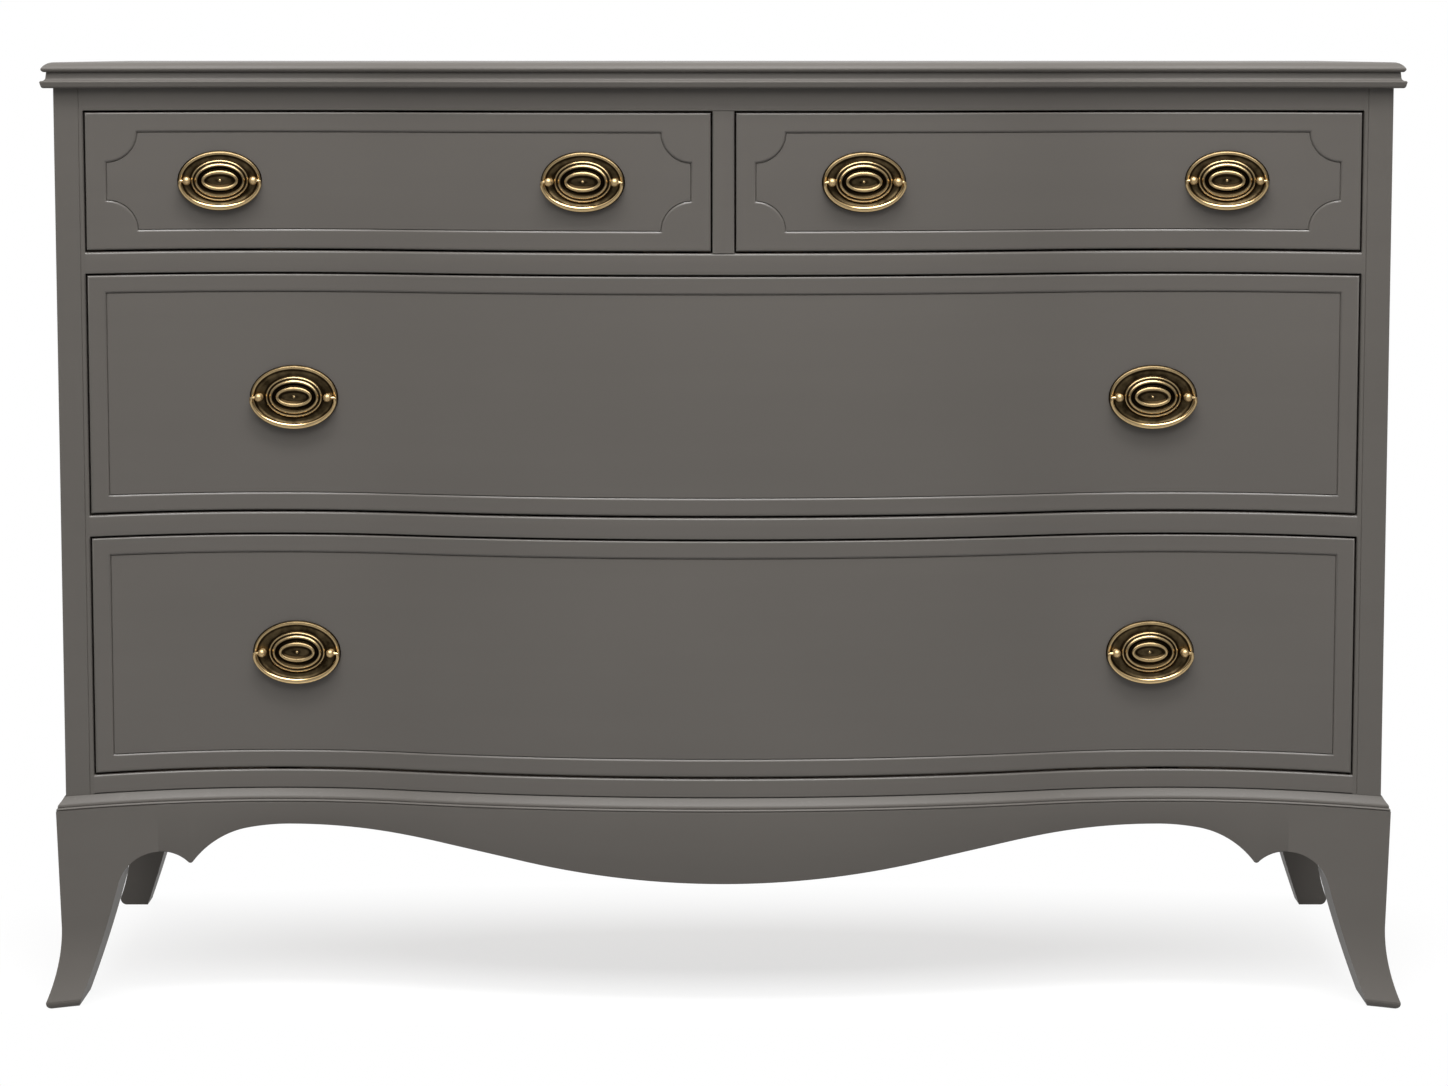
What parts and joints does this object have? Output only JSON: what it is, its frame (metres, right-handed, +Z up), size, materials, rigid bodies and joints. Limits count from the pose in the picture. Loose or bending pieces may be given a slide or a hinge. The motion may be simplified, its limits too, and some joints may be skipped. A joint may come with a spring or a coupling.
{
  "type": "dresser",
  "caption": "Serpentine-front dresser with small drawers over wide ones, moulded top and splayed bracket feet; the drawers slide and their oval bail pulls swing.",
  "frame": {"origin": "on the floor under the middle of the whole object, soles of the feet at Z = 0", "axes": "+X to the viewer's right along the front, +Y from the drawer fronts to the back, +Z up"},
  "size_m": [1.2824, 0.5441, 0.892],
  "materials": {
    "painted_wood": "satin paint over wood",
    "inside_wood": "unpainted, lightly sealed",
    "back_board": "unpainted thin board",
    "antique_brass": "aged, softly polished",
    "screw_steel": "plain zinc plated"
  },
  "bodies": {
    "case": {"top_board": "painted_wood", "left_side_panel": "painted_wood", "right_side_panel": "painted_wood", "left_front_post": "painted_wood", "right_front_post": "painted_wood", "left_rear_post": "painted_wood", "right_rear_post": "painted_wood", "top_front_rail": "painted_wood", "upper_divider_rail": "painted_wood", "lower_divider_rail": "painted_wood", "bottom_rail": "painted_wood", "centre_stile": "painted_wood", "back_panel": "back_board", "top_rear_rail": "inside_wood", "bottom_rear_rail": "inside_wood", "base_moulding_front": "painted_wood", "base_moulding_sides": "painted_wood", "front_apron": "painted_wood", "side_aprons": "painted_wood", "left_front_foot": "painted_wood", "right_front_foot": "painted_wood", "left_rear_foot": "painted_wood", "right_rear_foot": "painted_wood", "drawer_runners": "inside_wood", "top_cleats": "inside_wood", "top_screws": "screw_steel", "base_corner_blocks": "inside_wood", "drawer_stops": "inside_wood"},
    "upper_left_drawer": {"upper_left_drawer_front": "painted_wood", "upper_left_drawer_sides": "inside_wood", "upper_left_drawer_back": "inside_wood", "upper_left_drawer_bottom": "inside_wood", "upper_left_drawer_backplates": "antique_brass", "upper_left_drawer_pull_bolts": "antique_brass"},
    "upper_right_drawer": {"upper_right_drawer_front": "painted_wood", "upper_right_drawer_sides": "inside_wood", "upper_right_drawer_back": "inside_wood", "upper_right_drawer_bottom": "inside_wood", "upper_right_drawer_backplates": "antique_brass", "upper_right_drawer_pull_bolts": "antique_brass"},
    "middle_drawer": {"middle_drawer_front": "painted_wood", "middle_drawer_sides": "inside_wood", "middle_drawer_back": "inside_wood", "middle_drawer_bottom": "inside_wood", "middle_drawer_backplates": "antique_brass", "middle_drawer_pull_bolts": "antique_brass"},
    "lower_drawer": {"lower_drawer_front": "painted_wood", "lower_drawer_sides": "inside_wood", "lower_drawer_back": "inside_wood", "lower_drawer_bottom": "inside_wood", "lower_drawer_backplates": "antique_brass", "lower_drawer_pull_bolts": "antique_brass"},
    "upper_left_drawer_left_bail": {"upper_left_drawer_left_bail": "antique_brass"},
    "upper_left_drawer_right_bail": {"upper_left_drawer_right_bail": "antique_brass"},
    "upper_right_drawer_left_bail": {"upper_right_drawer_left_bail": "antique_brass"},
    "upper_right_drawer_right_bail": {"upper_right_drawer_right_bail": "antique_brass"},
    "middle_drawer_left_bail": {"middle_drawer_left_bail": "antique_brass"},
    "middle_drawer_right_bail": {"middle_drawer_right_bail": "antique_brass"},
    "lower_drawer_left_bail": {"lower_drawer_left_bail": "antique_brass"},
    "lower_drawer_right_bail": {"lower_drawer_right_bail": "antique_brass"}
  },
  "joints": [
    {"name": "upper_left_drawer_slide", "type": "slide", "parent": "case", "child": "upper_left_drawer", "axis": [0, -1, 0], "range_m": [0, 0.36]},
    {"name": "upper_right_drawer_slide", "type": "slide", "parent": "case", "child": "upper_right_drawer", "axis": [0, -1, 0], "range_m": [0, 0.36]},
    {"name": "middle_drawer_slide", "type": "slide", "parent": "case", "child": "middle_drawer", "axis": [0, -1, 0], "range_m": [0, 0.36]},
    {"name": "lower_drawer_slide", "type": "slide", "parent": "case", "child": "lower_drawer", "axis": [0, -1, 0], "range_m": [0, 0.36]},
    {"name": "upper_left_drawer_left_bail_swing", "type": "hinge", "parent": "upper_left_drawer", "child": "upper_left_drawer_left_bail", "pos_m": [-0.47398, -0.20562, 0.781], "axis": [-0.9935, -0.1135, 0], "range_deg": [0, 160]},
    {"name": "upper_left_drawer_right_bail_swing", "type": "hinge", "parent": "upper_left_drawer", "child": "upper_left_drawer_right_bail", "pos_m": [-0.13204, -0.25133, 0.781], "axis": [-0.9932, 0.1161, 0], "range_deg": [0, 160]},
    {"name": "upper_right_drawer_left_bail_swing", "type": "hinge", "parent": "upper_right_drawer", "child": "upper_right_drawer_left_bail", "pos_m": [0.13204, -0.25133, 0.781], "axis": [-0.9932, -0.1161, 0], "range_deg": [0, 160]},
    {"name": "upper_right_drawer_right_bail_swing", "type": "hinge", "parent": "upper_right_drawer", "child": "upper_right_drawer_right_bail", "pos_m": [0.47398, -0.20562, 0.781], "axis": [-0.9935, 0.1135, 0], "range_deg": [0, 160]},
    {"name": "middle_drawer_left_bail_swing", "type": "hinge", "parent": "middle_drawer", "child": "middle_drawer_left_bail", "pos_m": [-0.40783, -0.2033, 0.5762], "axis": [-0.9993, 0.0367, 0], "range_deg": [0, 160]},
    {"name": "middle_drawer_right_bail_swing", "type": "hinge", "parent": "middle_drawer", "child": "middle_drawer_right_bail", "pos_m": [0.40783, -0.2033, 0.5762], "axis": [-0.9993, -0.0367, 0], "range_deg": [0, 160]},
    {"name": "lower_drawer_left_bail_swing", "type": "hinge", "parent": "lower_drawer", "child": "lower_drawer_left_bail", "pos_m": [-0.40783, -0.2033, 0.3317], "axis": [-0.9993, 0.0367, 0], "range_deg": [0, 160]},
    {"name": "lower_drawer_right_bail_swing", "type": "hinge", "parent": "lower_drawer", "child": "lower_drawer_right_bail", "pos_m": [0.40783, -0.2033, 0.3317], "axis": [-0.9993, -0.0367, 0], "range_deg": [0, 160]}
  ]
}
